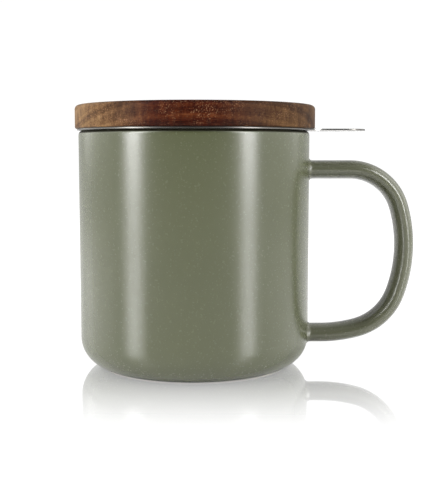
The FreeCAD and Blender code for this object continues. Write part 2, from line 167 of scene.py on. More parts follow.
def ramp_between(tree, value, low, high, out_low=0.0, out_high=1.0):
    """A smooth step from out_low to out_high while a value goes from low to high; returns its socket."""
    made = add_node(
        tree, "ShaderNodeMapRange", interpolation_type="SMOOTHSTEP", in_Value=value,
        in_From_Min=low, in_From_Max=high, in_To_Min=out_low, in_To_Max=out_high,
    )
    return made.outputs["Result"]


def split(tree, vector):
    """The X, Y and Z sockets of a vector."""
    axes = add_node(tree, "ShaderNodeSeparateXYZ", in_Vector=vector)
    return axes.outputs["X"], axes.outputs["Y"], axes.outputs["Z"]


def span_of(tree, first, second):
    """The square root of the sum of two values' squares."""
    squares = maths(tree, "POWER", first, 2.0), maths(tree, "POWER", second, 2.0)
    return maths(tree, "SQRT", maths(tree, "ADD", *squares))


def stage_sheet(name, corners, material):
    """A flat sheet through four corners that belongs to the stage, not to the part."""
    mesh = bpy.data.meshes.new(name)
    mesh.from_pydata(corners, [], [(0, 1, 2, 3)])
    mesh.materials.append(material)
    sheet = bpy.data.objects.new(name, mesh)
    bpy.context.scene.collection.objects.link(sheet)


mirror_start, mirror_end, mirror_most = 0.012, 0.118, 0.68
pale_start, pale_end, pale_near, pale_far = 0.05, 0.25, 0.93, 1.05
handle_run = 0.06
sideways = 0.35
floor_half = 30.0
floor_stuff, tree, output = new_material("floor_acrylic")
floor_x, floor_y, _ = split(tree, add_node(tree, "ShaderNodeTexCoord").outputs["Object"])
along_handle = add_node(tree, "ShaderNodeClamp", in_Value=floor_x, in_Min=0.0, in_Max=handle_run)
across = maths(tree, "MULTIPLY", maths(tree, "SUBTRACT", floor_x, along_handle.outputs[0]), sideways)
distance = span_of(tree, across, floor_y)
mirror_share = ramp_between(tree, distance, mirror_start, mirror_end, mirror_most, 0.0)
brightness = ramp_between(tree, distance, pale_start, pale_end, pale_near, pale_far)
faint = add_node(tree, "ShaderNodeBsdfDiffuse", in_Color=(0.10, 0.10, 0.10, 1))
glow = add_node(tree, "ShaderNodeEmission", in_Color=(1, 1, 1, 1), in_Strength=brightness)
seen_pale = add_node(tree, "ShaderNodeAddShader")
tree.links.new(faint.outputs[0], seen_pale.inputs[0])
tree.links.new(glow.outputs[0], seen_pale.inputs[1])
mirror = add_node(tree, "ShaderNodeBsdfGlossy", in_Color=(1, 1, 1, 1), in_Roughness=0.0)
seen_floor = mixed(tree, mirror_share, seen_pale.outputs[0], mirror.outputs[0])
matt = add_node(tree, "ShaderNodeBsdfDiffuse", in_Color=(0.85, 0.85, 0.85, 1))
gloss = add_node(tree, "ShaderNodeFresnel", in_IOR=1.5)
lit_floor = mixed(tree, gloss.outputs[0], matt.outputs[0], mirror.outputs[0])
ray = add_node(tree, "ShaderNodeLightPath")
tree.links.new(mixed(tree, ray.outputs["Is Camera Ray"], lit_floor, seen_floor), output.inputs[0])
stage_sheet("floor", [
    (-floor_half, -floor_half, 0), (floor_half, -floor_half, 0), (floor_half, floor_half, 0),
    (-floor_half, floor_half, 0),
], floor_stuff)


# Backdrop: an upright white sheet that hangs behind the mug. It is full white to the camera and in
# sharp mirrors, and a little dimmer as a light.
drop_half, drop_far, drop_low, drop_high = 4.0, 1.6, -0.5, 3.5
drop_stuff, tree, output = new_material("backdrop_white")
brightness = ramp_between(tree, seen_straight(tree), 0.0, 1.0, 0.85, 1.05)
glow = add_node(tree, "ShaderNodeEmission", in_Color=(1, 1, 1, 1), in_Strength=brightness)
tree.links.new(glow.outputs[0], output.inputs[0])
stage_sheet("backdrop", [
    (-drop_half, drop_far, drop_low), (drop_half, drop_far, drop_low), (drop_half, drop_far, drop_high),
    (-drop_half, drop_far, drop_high),
], drop_stuff)


# Mug body: one piece of stoneware with a round-cornered base, a bare foot ring and a rounded rim.
# It is satin glazed inside and out except on the ring that it stands on.
mug_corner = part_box("mug_body")[1]
mug_radius, rim_height = mug_corner.x, mug_corner.z
mug_wall = 0.004
base_corner = 0.0116
well_floor = 0.0074
well_corner = 0.008
foot_inner, foot_recess, foot_round = 0.0285, 0.0014, 0.0005
recess_round = 0.0006
rim_outer_round, rim_inner_round = 0.0018, 0.0012


def rounded(corners, radii, steps=10):
    """A line through corners where each corner with a radius becomes an arc tangent to its two sides.

    The arc starts radius / tan(half the inner angle) from the corner, on each side.
    """
    points = []
    for index, (corner, radius) in enumerate(zip(corners, radii)):
        here = np.array(corner, float)
        if radius == 0:
            points.append(here)
            continue
        before = np.array(corners[index - 1], float) - here
        after = np.array(corners[(index + 1) % len(corners)], float) - here
        before, after = before / np.linalg.norm(before), after / np.linalg.norm(after)
        half_angle = 0.5 * math.acos(np.clip(before @ after, -1, 1))
        middle = here + (before + after) / np.linalg.norm(before + after) * radius / math.sin(half_angle)
        start = here + before * radius / math.tan(half_angle) - middle
        end = here + after * radius / math.tan(half_angle) - middle
        share = np.linspace(0, 1, steps)[:, None]
        sweep = math.pi - 2 * half_angle
        arc = (np.sin((1 - share) * sweep) * start + np.sin(share * sweep) * end) / math.sin(sweep)
        points.extend(middle + arc)
    return np.array(points)


def filled_in(points, gap, closed=False):
    """The same line with every stretch longer than gap divided evenly."""
    ends = np.roll(points, -1, axis=0) if closed else points[1:]
    pieces = []
    for start, end in zip(points, ends):
        count = max(1, math.ceil(np.linalg.norm(end - start) / gap))
        pieces.append(start + (end - start) * np.arange(count)[:, None] / count)
    return np.vstack(pieces if closed else pieces + [points[-1:]])


def quads(*corners):
    """Four-cornered faces from four equal arrays of corner indices."""
    return np.stack(corners, axis=-1).reshape(-1, 4)


def grid_faces(rows, columns, wrap_rows=False):
    """Corner indices of the quads of a rows by columns grid that always closes along its columns."""
    row = np.arange(rows if wrap_rows else rows - 1)[:, None]
    column = np.arange(columns)[None, :]
    next_row, next_column = (row + 1) % rows, (column + 1) % columns
    return quads(
        row * columns + column,
        row * columns + next_column,
        next_row * columns + next_column,
        next_row * columns + column,
    )


def make_piece(name, points, faces, material):
    """A smooth-shaded mesh object at the origin from its points and faces."""
    mesh = bpy.data.meshes.new(name)
    mesh.from_pydata(points.tolist(), [], faces)
    mesh.update()
    mesh.shade_smooth()
    mesh.materials.append(material)
    piece = bpy.data.objects.new(name, mesh)
    bpy.context.scene.collection.objects.link(piece)
    return piece


def turned(name, profile, material, around=256, closed=False, shift=0.0):
    """A surface of revolution: radius r and height z go to (r cos a + shift, r sin a, z) for even angles a.

    An open profile starts and ends on the axis, where one point and a fan of triangles close it.
    A closed profile runs anticlockwise in the plane of radius and height.
    """
    angle = np.linspace(0, 2 * math.pi, around, endpoint=False)
    body = profile if closed else profile[1:-1]
    radius, height = body[:, :1], body[:, 1:]
    rings = np.stack([
        radius * np.cos(angle) + shift,
        radius * np.sin(angle),
        np.repeat(height, around, axis=1),
    ], axis=-1).reshape(-1, 3)
    faces = grid_faces(len(body), around, wrap_rows=closed).tolist()
    if closed:
        return make_piece(name, rings, faces, material)
    poles = np.array([[shift, 0, profile[0, 1]], [shift, 0, profile[-1, 1]]])
    first, last = len(rings), len(rings) + 1
    here = np.arange(around)
    there = (here + 1) % around
    top_ring = (len(body) - 1) * around
    faces += np.column_stack([np.full(around, first), there, here]).tolist()
    faces += np.column_stack([np.full(around, last), top_ring + here, top_ring + there]).tolist()
    return make_piece(name, np.vstack([rings, poles]), faces, material)


def shader_group(name, given, made):
    """An empty node group with its input and output sockets, each a name and a kind."""
    group = bpy.data.node_groups.new(name, "ShaderNodeTree")
    for way, sockets in (("INPUT", given), ("OUTPUT", made)):
        for socket, kind in sockets:
            group.interface.new_socket(name=socket, in_out=way, socket_type="NodeSocket" + kind)
    return group, group.nodes.new("NodeGroupInput"), group.nodes.new("NodeGroupOutput")


def noise(tree, vector, scale, detail, roughness=0.5):
    """The value of a noise texture over a vector."""
    return add_node(
        tree, "ShaderNodeTexNoise", in_Vector=vector,
        in_Scale=scale, in_Detail=detail, in_Roughness=roughness,
    ).outputs["Fac"]


def blended(tree, share, first, second):
    """The colour between two colours by a share. A mix's colour sockets are inputs 6 and 7 and output 2."""
    made = add_node(tree, "ShaderNodeMix", data_type="RGBA", in_Factor=share)
    feed(tree, first, made.inputs[6])
    feed(tree, second, made.inputs[7])
    return made.outputs[2]


def satin_glaze_group():
    """Satin glaze: a soft mottle between two shades and a fine pebbled surface."""
    group, given, made = shader_group(
        "satin_glaze",
        [("Position", "Vector"), ("Pale", "Color"), ("Deep", "Color")],
        [("Color", "Color"), ("Roughness", "Float"), ("Height", "Float")],
    )
    place = given.outputs["Position"]
    mottle = noise(group, place, 38.0, 3.0, 0.55)
    pebble = noise(group, place, 1300.0, 2.0)
    grit = noise(group, place, 2600.0, 2.0, 0.6)
    share = ramp_between(group, mottle, 0.3, 0.7, 0.0, 0.35)
    color = blended(group, share, given.outputs["Pale"], given.outputs["Deep"])
    coarse, fine = maths(group, "MULTIPLY", pebble, 0.6), maths(group, "MULTIPLY", grit, 0.4)
    group.links.new(color, made.inputs["Color"])
    group.links.new(ramp_between(group, pebble, 0.3, 0.7, 0.25, 0.275), made.inputs["Roughness"])
    group.links.new(maths(group, "ADD", coarse, fine), made.inputs["Height"])
    return group


satin_glaze = satin_glaze_group()
# Painted shade: a near-black colour for the outside of the rim's round, where the flange's shadow falls.
crevice_shade = (0.014, 0.013, 0.007, 1)
bare_clay = (0.56, 0.50, 0.41, 1)
pebble_depth = 0.00006
shade_height, shade_radius = rim_height - 0.0013, mug_radius - 0.0013


def glaze_material(name, pale, deep, pebbles, bare_below=None):
    """The sage glaze between a pale and a deep shade, pebbles being the strength of its bump.

    With bare_below, clay shows up to that height, and the outside of the rim's round gets painted shade for
    the shadow under the flange: a near-black colour, with Metallic and roughness raised to keep highlights
    off it.
    """
    material, tree, output = new_material(name)
    place = add_node(tree, "ShaderNodeTexCoord").outputs["Object"]
    glaze = add_node(
        tree, "ShaderNodeGroup", node_tree=satin_glaze, in_Position=place, in_Pale=pale, in_Deep=deep,
    )
    bump = add_node(
        tree, "ShaderNodeBump", in_Strength=pebbles, in_Distance=pebble_depth,
        in_Height=glaze.outputs["Height"],
    )
    color, roughness, metallic = glaze.outputs["Color"], glaze.outputs["Roughness"], 0.0
    if bare_below is not None:
        x, y, z = split(tree, place)
        # painted shade for the flange's shadow, on the rim's outer round near its top
        high = ramp_between(tree, z, shade_height, shade_height + 0.0005)
        outside = ramp_between(tree, span_of(tree, x, y), shade_radius, shade_radius + 0.0006)
        under_flange_shade = maths(tree, "MULTIPLY", high, outside)
        bare = ramp_between(tree, z, bare_below, bare_below * 1.6, 1.0, 0.0)
        color = blended(tree, bare, blended(tree, under_flange_shade, color, crevice_shade), bare_clay)
        dull = maths(tree, "MULTIPLY", maths(tree, "MAXIMUM", bare, under_flange_shade), 0.45)
        roughness = maths(tree, "ADD", roughness, dull, clamp=True)
        metallic = maths(tree, "MULTIPLY", under_flange_shade, 0.9)
    coat = add_node(
        tree, "ShaderNodeBsdfPrincipled", in_IOR=1.5, in_Base_Color=color, in_Roughness=roughness,
        in_Metallic=metallic, in_Normal=bump.outputs[0],
    )
    tree.links.new(coat.outputs[0], output.inputs[0])
    return material


mug_corners = [
    (0, foot_recess), (foot_inner, foot_recess), (foot_inner, 0), (mug_radius, 0),
    (mug_radius, rim_height), (mug_radius - mug_wall, rim_height),
    (mug_radius - mug_wall, well_floor), (0, well_floor),
]
mug_rounds = [0, recess_round, foot_round, base_corner, rim_outer_round, rim_inner_round, well_corner, 0]
mug_profile = filled_in(rounded(mug_corners, mug_rounds, 16), 0.004)
mug_pale, mug_deep = (0.0475, 0.052, 0.0255, 1), (0.040, 0.0445, 0.021, 1)
mug_glaze = glaze_material("mug_glaze", mug_pale, mug_deep, 0.15, bare_below=0.00025)
mug_piece = turned("stoneware_mug", mug_profile, mug_glaze)
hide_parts("mug_body")
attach(mug_piece, "mug")


# Mug handle: an oval strap of the same clay in one open curve, luted to the wall top and bottom.
# The joints are smoothed with wet clay, so each end flares into the wall.
handle_half_thick, handle_half_wide = 0.0036, 0.0065
handle_level = 0.077
handle_straight = 0.0162
handle_bends = [(0.0203, 73.1), (0.055, 36.7), (0.0224, 55.4), (0.056, 14.8)]
joint_round = 0.0012
root_depth = 0.0025


def handle_line(spacing):
    """The strap's middle line from wall to wall: points and headings, along straights and clockwise arcs.

    On an arc of radius b the heading falls evenly, and the point is the centre plus b times the normal.
    """
    spot = np.array([mug_radius - root_depth, handle_level])
    run = root_depth + handle_straight
    steps = np.linspace(0, run, math.ceil(run / spacing), endpoint=False)
    points, headings = [spot + np.outer(steps, [1, 0])], [np.zeros(len(steps))]
    spot, heading = spot + [run, 0], 0.0
    for bend, degrees in handle_bends:
        turn = math.radians(degrees)
        angles = heading - np.linspace(0, turn, math.ceil(turn * bend / spacing), endpoint=False)
        centre = spot - bend * np.array([-math.sin(heading), math.cos(heading)])
        points.append(centre + bend * np.stack([-np.sin(angles), np.cos(angles)], axis=-1))
        headings.append(angles)
        heading -= turn
        spot = centre + bend * np.array([-math.sin(heading), math.cos(heading)])
    run = spot[0] - (mug_radius - root_depth)
    steps = np.linspace(0, run, math.ceil(run / spacing))
    points.append(spot - np.outer(steps, [1, 0]))
    headings.append(np.full(len(steps), -math.pi))
    return np.vstack(points), np.concatenate(headings)


def wall_reach(height, side):
    """How far along X the mug's outside is, at a height and a distance to the side."""
    low = np.clip(base_corner - height, 0, base_corner)
    radius = mug_radius - base_corner + np.sqrt(base_corner ** 2 - low ** 2)
    return np.sqrt(np.maximum(radius ** 2 - side ** 2, 0))


def flare(gap):
    """Extra size at a gap from the wall: a quarter round of joint_round that runs out along the strap."""
    inside = np.clip(joint_round - gap, 0, joint_round)
    return joint_round - np.sqrt(np.maximum(joint_round ** 2 - inside ** 2, 0))


def handle_strap(around=64, spacing=0.0008):
    """Ovals carried along the middle line: centre + (thick + f) cos t * normal + (wide + f) sin t * Y."""
    line, heading = handle_line(spacing)
    t = np.linspace(0, 2 * math.pi, around, endpoint=False)[None, :]
    normal_x, normal_z = -np.sin(heading)[:, None], np.cos(heading)[:, None]
    extra = np.zeros((len(line), around))
    # the flare depends on the gap to the wall, and the gap on the flare: four turns settle them
    for _ in range(4):
        thick, wide = handle_half_thick + extra, handle_half_wide + extra
        x = line[:, :1] + thick * np.cos(t) * normal_x
        y = wide * np.sin(t)
        z = line[:, 1:] + thick * np.cos(t) * normal_z
        extra = 0.5 * extra + 0.5 * flare(np.maximum(x - wall_reach(z, y), 0))
    rings = np.stack([x, y, z], axis=-1).reshape(-1, 3)
    faces = grid_faces(len(line), around)[:, ::-1].tolist()
    faces.append(list(range(around)))
    faces.append(list(range((len(line) - 1) * around, len(line) * around))[::-1])
    return rings, faces


strap_points, strap_faces = handle_strap()
# Painted light: the handle's glaze is the mug's glaze painted lighter and greyer, for the light from the
# right that falls on the handle.
handle_lit_pale, handle_lit_deep = (0.066, 0.0685, 0.043, 1), (0.060, 0.0625, 0.038, 1)
handle_lit_glaze = glaze_material("handle_lit_glaze", handle_lit_pale, handle_lit_deep, 0.10)
handle_piece = make_piece("handle_strap", strap_points, strap_faces, handle_lit_glaze)
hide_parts("mug_handle")
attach(handle_piece, "mug")


# Infuser rim: one stamping of stainless steel, with a flat flange on the mug's rim, a neck, a sloping
# shoulder, a lip for the sleeve, and a round-ended grip tab that reaches out over the handle.
steel = 0.0007
flange_radius = 0.0455
neck_radius = 0.0396
shoulder_height, lip_top, lip_bottom = rim_height - 0.009, rim_height - 0.0114, rim_height - 0.0164
sleeve_radius = 0.0368
tab_reach, tab_half, tab_corner, tab_flare = 0.0667, 0.010, 0.0085, 0.008


def turned_steel_group():
    """Stainless steel: fine lines turned round the axis, and a slow drift between two greys."""
    group, given, made = shader_group(
        "turned_steel",
        [("Position", "Vector"), ("Streak", "Float"), ("Dark", "Color"), ("Pale", "Color"),
         ("Smoothest", "Float"), ("Roughest", "Float")],
        [("Color", "Color"), ("Roughness", "Float"), ("Height", "Float")],
    )
    place, streak = given.outputs["Position"], given.outputs["Streak"]
    x, y, z = split(group, place)
    lathe = add_node(
        group, "ShaderNodeCombineXYZ", in_X=maths(group, "MULTIPLY", span_of(group, x, y), streak),
        in_Y=maths(group, "MULTIPLY", z, streak),
    )
    lines = noise(group, lathe.outputs[0], 1.0, 3.0, 0.7)
    color = blended(group, noise(group, place, 90.0, 2.0), given.outputs["Dark"], given.outputs["Pale"])
    rough = ramp_between(group, lines, 0.3, 0.7, given.outputs["Smoothest"], given.outputs["Roughest"])
    group.links.new(color, made.inputs["Color"])
    group.links.new(rough, made.inputs["Roughness"])
    group.links.new(lines, made.inputs["Height"])
    return group


turned_steel = turned_steel_group()
line_depth = 0.00001
# Painted shade for the steel's upright outer edges: a dark grey that dims their reflections.
painted_edge_shade = (0.10, 0.097, 0.090, 1)


def steel_material(name, roughness, streak, dark, pale, shaded_edge_from=None):
    """Turned stainless steel between a dark and a pale grey, with streak lines to the metre.

    With an edge radius given, upright faces further out than that radius, and those of the tab's end, are the
    sheet's sheared edge: a little rougher, and painted dark grey as painted shade that dims their
    reflections.
    """
    material, tree, output = new_material(name)
    place = add_node(tree, "ShaderNodeTexCoord")
    sheet = add_node(
        tree, "ShaderNodeGroup", node_tree=turned_steel, in_Position=place.outputs["Object"],
        in_Streak=streak, in_Dark=dark, in_Pale=pale,
        in_Smoothest=roughness * 0.8, in_Roughest=roughness * 1.25,
    )
    color, satin = sheet.outputs["Color"], sheet.outputs["Roughness"]
    if shaded_edge_from is not None:
        x, y, _ = split(tree, place.outputs["Object"])
        _, _, lean = split(tree, place.outputs["Normal"])
        upright = ramp_between(tree, maths(tree, "ABSOLUTE", lean), 0.6, 0.9, 1.0, 0.0)
        off_tab = ramp_between(tree, x, flange_radius, flange_radius + 0.0025, 1.0, 0.0)
        ring = ramp_between(tree, span_of(tree, x, y), shaded_edge_from, shaded_edge_from + 0.0005)
        tab_end = ramp_between(tree, x, tab_reach - tab_corner, tab_reach - tab_corner + 0.002)
        either = maths(tree, "MAXIMUM", maths(tree, "MULTIPLY", off_tab, ring), tab_end)
        edge_shade = maths(tree, "MULTIPLY", upright, either)
        # painted shade: the upright edge faces are painted dark grey to dim their reflections; the added
        # roughness is the sheared edge's own
        color = blended(tree, edge_shade, color, painted_edge_shade)
        satin = maths(tree, "ADD", satin, maths(tree, "MULTIPLY", edge_shade, 0.12))
    bump = add_node(
        tree, "ShaderNodeBump", in_Strength=0.25, in_Distance=line_depth, in_Height=sheet.outputs["Height"],
    )
    metal = add_node(
        tree, "ShaderNodeBsdfPrincipled", in_Metallic=1.0, in_Base_Color=color, in_Roughness=satin,
        in_Normal=bump.outputs[0],
    )
    tree.links.new(metal.outputs[0], output.inputs[0])
    return material


def rim_outline(around):
    """The flange and its tab from above, at equal lengths along the edge, anticlockwise.

    A circle meets the tab's straight sides in hollow rounds, and the tab's free corners are round.
    """
    meet = math.acos((tab_half + tab_flare) / (flange_radius + tab_flare))
    hollow = np.array([(flange_radius + tab_flare) * math.sin(meet), tab_half + tab_flare])
    leave = math.atan2(hollow[1], hollow[0])
    arc = np.linspace(leave, 2 * math.pi - leave, 400)
    ring = flange_radius * np.stack([np.cos(arc), np.sin(arc)], axis=-1)
    turn = np.linspace(math.pi + leave, 1.5 * math.pi, 40)
    curve = hollow + tab_flare * np.stack([np.cos(turn), np.sin(turn)], axis=-1)
    end = np.linspace(math.pi / 2, 0, 40)
    corner = np.array([tab_reach - tab_corner, tab_half - tab_corner])
    corner = corner + tab_corner * np.stack([np.cos(end), np.sin(end)], axis=-1)
    upper = np.vstack([curve, corner])
    whole = np.vstack([ring, upper * [1, -1], upper[::-1]])
    length = np.concatenate([[0], np.cumsum(np.linalg.norm(np.diff(whole, axis=0), axis=1))])
    at = np.linspace(0, length[-1], around, endpoint=False)
    return np.stack([np.interp(at, length, whole[:, axis]) for axis in (0, 1)], axis=-1)


def at_height(points, height):
    """Flat points with one height added to them."""
    return np.column_stack([points, np.full(len(points), height)])


def stamped_rim(around=560):
    """The sheet's section carried round: inside the neck it is turned, and outside it stretches to the edge.

    The section goes up the outside of the lip and neck, out under the flange, round the edge's two soft
    corners, back over the flange and down the inside.
    """
    edge = rim_outline(around)
    tangent = np.roll(edge, -1, axis=0) - np.roll(edge, 1, axis=0)
    outward = np.stack([tangent[:, 1], -tangent[:, 0]], axis=-1)
    outward /= np.linalg.norm(outward, axis=1, keepdims=True)
    spoke = edge / np.linalg.norm(edge, axis=1, keepdims=True)
    bottom, top, soft, edge_lean = rim_height, rim_height + steel, 0.00010, 0.00009
    under_corners = [
        (sleeve_radius, lip_bottom), (sleeve_radius + steel, lip_bottom), (sleeve_radius + steel, lip_top),
        (neck_radius, shoulder_height), (neck_radius, bottom), (flange_radius, bottom),
    ]
    over_corners = [
        (flange_radius, top), (neck_radius - steel, top), (neck_radius - steel, shoulder_height),
        (sleeve_radius, lip_top), (sleeve_radius, lip_bottom), (sleeve_radius + steel, lip_bottom),
    ]
    under = filled_in(rounded(under_corners, [0, 0.0001, 0.0012, 0.0016, 0.0016, 0], 8)[1:-1], 0.0012)
    over = filled_in(rounded(over_corners, [0, 0.0023, 0.0012, 0.0016, 0.0001, 0], 8)[1:-1], 0.0012)
    flat_edge = edge - outward * soft
    rows = [at_height(spoke * radius, height) for radius, height in under]
    root = spoke * under[-1][0]
    rows += [at_height(root + (flat_edge - root) * share, bottom) for share in np.linspace(0, 1, 12)[1:-1]]
    for tilt in np.radians([-90, -60, -30, 0]):
        rim = edge - outward * (soft * (1 - math.cos(tilt)))
        rows.append(at_height(rim, bottom + soft + soft * math.sin(tilt)))
    for tilt in np.radians([0, 30, 60, 90]):
        rim = edge - outward * (edge_lean + soft * (1 - math.cos(tilt)))
        rows.append(at_height(rim, top - soft + soft * math.sin(tilt)))
    root = spoke * over[0][0]
    rows += [at_height(root + (flat_edge - root) * share, top) for share in np.linspace(1, 0, 12)[1:-1]]
    rows += [at_height(spoke * radius, height) for radius, height in over]
    return np.vstack(rows), grid_faces(len(rows), around, wrap_rows=True).tolist()


rim_points, rim_faces = stamped_rim()
rim_dark, rim_pale = (0.46, 0.45, 0.43, 1), (0.54, 0.53, 0.51, 1)
rim_steel = steel_material("rim_steel", 0.22, 2600.0, rim_dark, rim_pale, shaded_edge_from=0.044)
rim_piece = make_piece("stamped_rim", rim_points, rim_faces, rim_steel)
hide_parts("infuser_rim")
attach(rim_piece, "infuser")


# Infuser sleeve: a perforated stainless sheet rolled into a tube and welded inside the rim's lip.
# Fine holes are punched all over it, each row shifted by half a pitch, with plain bands at both ends.
sheet_steel = 0.0004
sleeve_low, sleeve_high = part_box("infuser_sleeve")
sleeve_bottom, sleeve_top = sleeve_low.z, sleeve_high.z
holes_round, hole_rows = 96, 22
hole_radius = 0.00062
plain_band = 0.0045
weld = 0.00001


def punched_sleeve():
    """Cells of one hole each, rolled round Z: eight points on a cell's edge join eight on its hole.

    Unrolled, cell (i, j) is centred at ((i + j / 2) pitch, j step). It is made on the outside and again
    one thickness in, and the two rings of each hole are joined.
    """
    first, last = sleeve_bottom + plain_band, lip_bottom - 0.001
    step = (last - first) / hole_rows
    pitch = 2 * math.pi / holes_round
    j, i = np.meshgrid(np.arange(hole_rows), np.arange(holes_round), indexing="ij")
    middle = np.stack([(i + 0.5 * (j % 2)) * pitch, first + (j + 0.5) * step], axis=-1).reshape(-1, 1, 2)
    corner = np.array([(1, 0), (1, 1), (0, 1), (-1, 1), (-1, 0), (-1, -1), (0, -1), (1, -1)])
    border = middle + corner * [pitch / 2, step / 2]
    t = np.arange(8) * math.pi / 4
    hole = middle + np.stack([np.cos(t) * hole_radius / sleeve_radius, np.sin(t) * hole_radius], axis=-1)
    flat = [np.concatenate([border, hole], axis=1).reshape(-1, 2)]
    cell = np.arange(len(middle))[:, None] * 16
    k = np.arange(8)[None, :]
    n = (k + 1) % 8
    sheet = [quads(cell + k, cell + n, cell + 8 + n, cell + 8 + k)]
    columns = 2 * holes_round
    here = np.arange(columns)
    there = (here + 1) % columns
    starts = [len(flat[0]) + row * columns for row in range(4)]
    for height in (sleeve_bottom, first, last, sleeve_top):
        flat.append(np.stack([here * pitch / 2, np.full(columns, height)], axis=-1))
    for low, high in (starts[:2], starts[2:]):
        sheet.append(quads(low + here, low + there, high + there, high + here))
    flat, sheet = np.vstack(flat), np.vstack(sheet)
    inside = len(flat)
    low, high = starts[0], starts[3]
    hole_walls = quads(cell + 8 + k, cell + 8 + n, cell + 8 + n + inside, cell + 8 + k + inside)
    lower_edge = quads(low + there, low + here, low + here + inside, low + there + inside)
    upper_edge = quads(high + here, high + there, high + there + inside, high + here + inside)
    compass = np.stack([np.cos(flat[:, 0]), np.sin(flat[:, 0])], axis=-1)
    radii = (sleeve_radius, sleeve_radius - sheet_steel)
    points = np.vstack([np.column_stack([radius * compass, flat[:, 1]]) for radius in radii])
    faces = np.vstack([sheet, (sheet + inside)[:, ::-1], hole_walls, lower_edge, upper_edge])
    return points, faces.tolist()


def merged(piece, distance):
    """Join the points of a piece that fall on one another."""
    work = bmesh.new()
    work.from_mesh(piece.data)
    bmesh.ops.remove_doubles(work, verts=work.verts, dist=distance)
    work.to_mesh(piece.data)
    work.free()


sleeve_points, sleeve_faces = punched_sleeve()
# Painted shade: the sleeve and the base are the rim's steel painted darker, to keep the lamps' highlights
# from washing them out.
sheet_shaded_dark, sheet_shaded_pale = (0.30, 0.295, 0.285, 1), (0.40, 0.395, 0.385, 1)
sleeve_steel = steel_material("sleeve_steel", 0.17, 1500.0, sheet_shaded_dark, sheet_shaded_pale)
sleeve_piece = make_piece("punched_sleeve", sleeve_points, sleeve_faces, sleeve_steel)
merged(sleeve_piece, weld)
sleeve_piece.data.set_sharp_from_angle(angle=math.radians(40))
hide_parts("infuser_sleeve")
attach(sleeve_piece, "infuser")


# Infuser base: a shallow cup stamped from the same sheet and pressed into the sleeve's lower end.
# Its floor has the sleeve's fine holes in a staggered pattern, with a plain margin at the bend.
base_outside = sleeve_radius - sheet_steel
base_cup, base_bend = 0.002, 0.0012
base_flat = base_outside - base_bend - 0.0002
base_pitch = 0.0024
punched_radius = 0.0325


def punched_base(around=160):
    """A floor of triangles between the holes and the edge, twice, a wall in each hole and a turned cup edge.

    The holes are on a triangular grid: row j is at j pitch sqrt(3) / 2, and odd rows shift half a pitch.
    """
    span = np.arange(-16, 17)
    j, i = np.meshgrid(span, span, indexing="ij")
    across, along = (i + 0.5 * (j % 2)) * base_pitch, j * base_pitch * math.sqrt(0.75)
    middle = np.stack([across, along], axis=-1).reshape(-1, 2)
    middle = middle[np.linalg.norm(middle, axis=1) < punched_radius]
    t = np.arange(8) * math.pi / 4
    circle = hole_radius * np.stack([np.cos(t), np.sin(t)], axis=-1)
    holes = (middle[:, None] + circle).reshape(-1, 2)
    angle = np.linspace(0, 2 * math.pi, around, endpoint=False)
    edge = base_flat * np.stack([np.cos(angle), np.sin(angle)], axis=-1)
    flat = np.vstack([edge, holes])
    here = np.arange(around)
    start = around + 8 * np.arange(len(middle))[:, None]
    this = (start + np.arange(8)).ravel()
    following = (start + (np.arange(8) + 1) % 8).ravel()
    lines = np.vstack([np.column_stack([here, (here + 1) % around]), np.column_stack([this, following])])
    made = delaunay_2d_cdt([Vector(point) for point in flat], lines.tolist(), [], 0, 1e-8)
    plate, triangles = np.array([tuple(point) for point in made[0]]), np.array(made[2])
    centre = plate[triangles].mean(axis=1)
    gap = np.linalg.norm(centre[:, None] - middle[None], axis=2).min(axis=1)
    triangles = triangles[gap > 0.9 * hole_radius]
    low, high = sleeve_bottom, sleeve_bottom + sheet_steel
    cup = rounded([
        (base_flat, low), (base_outside, low), (base_outside, low + base_cup),
        (base_outside - sheet_steel, low + base_cup), (base_outside - sheet_steel, high), (base_flat, high),
    ], [0, base_bend, 0.0001, 0.0001, base_bend - sheet_steel, 0], 8)
    rings = np.stack([
        cup[:, :1] * np.cos(angle), cup[:, :1] * np.sin(angle), np.repeat(cup[:, 1:], around, axis=1),
    ], axis=-1).reshape(-1, 3)
    layers = [at_height(part, level) for part in (plate, holes) for level in (low, high)]
    walls = 2 * len(plate)
    this, following = this - around + walls, following - around + walls
    up = len(holes)
    faces = triangles[:, ::-1].tolist() + (triangles + len(plate)).tolist()
    faces += quads(this, this + up, following + up, following).tolist()
    faces += (grid_faces(len(cup), around) + walls + 2 * up).tolist()
    return np.vstack(layers + [rings]), faces


base_points, base_faces = punched_base()
base_steel = steel_material("base_steel", 0.17, 1500.0, sheet_shaded_dark, sheet_shaded_pale)
base_piece = make_piece("punched_base", base_points, base_faces, base_steel)
merged(base_piece, weld)
base_piece.data.set_sharp_from_angle(angle=math.radians(40))
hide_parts("infuser_base")
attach(base_piece, "infuser")


# Lid: one turned disc of acacia, with a step underneath that drops into the infuser's neck and a
# groove round it for the seal. It rests a little towards the handle, within the seal's play.
lid_low, lid_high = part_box("lid_disc")
lid_shift = 0.0004
lid_radius = 0.0467
lid_under, lid_top = rim_height + steel, lid_high.z
plug_radius, groove_radius = 0.0375, 0.0357
plug_bottom = lid_low.z
groove_bottom, groove_top = plug_bottom + 0.0015, plug_bottom + 0.0045
plug_round, groove_lip, groove_round, plug_root = 0.0006, 0.0002, 0.0003, 0.0004
lid_under_round, lid_top_round = 0.0007, 0.0016
grain_depth = 0.00006


def wood_shades(tree, tone, colors):
    """A colour from a tone, through four colours at the same four tones; returns its socket."""
    shades = add_node(tree, "ShaderNodeValToRGB", in_Fac=tone)
    steps = shades.color_ramp.elements
    while len(steps) < len(colors):
        steps.new(0.5)
    for step, position, color in zip(steps, (0.36, 0.46, 0.55, 0.68), colors):
        step.position = position
        step.color = color
    return shades.outputs["Color"]


def stretched(tree, vector, **settings):
    """A vector moved, turned or scaled by a mapping node."""
    return add_node(tree, "ShaderNodeMapping", in_Vector=vector, **settings).outputs[0]


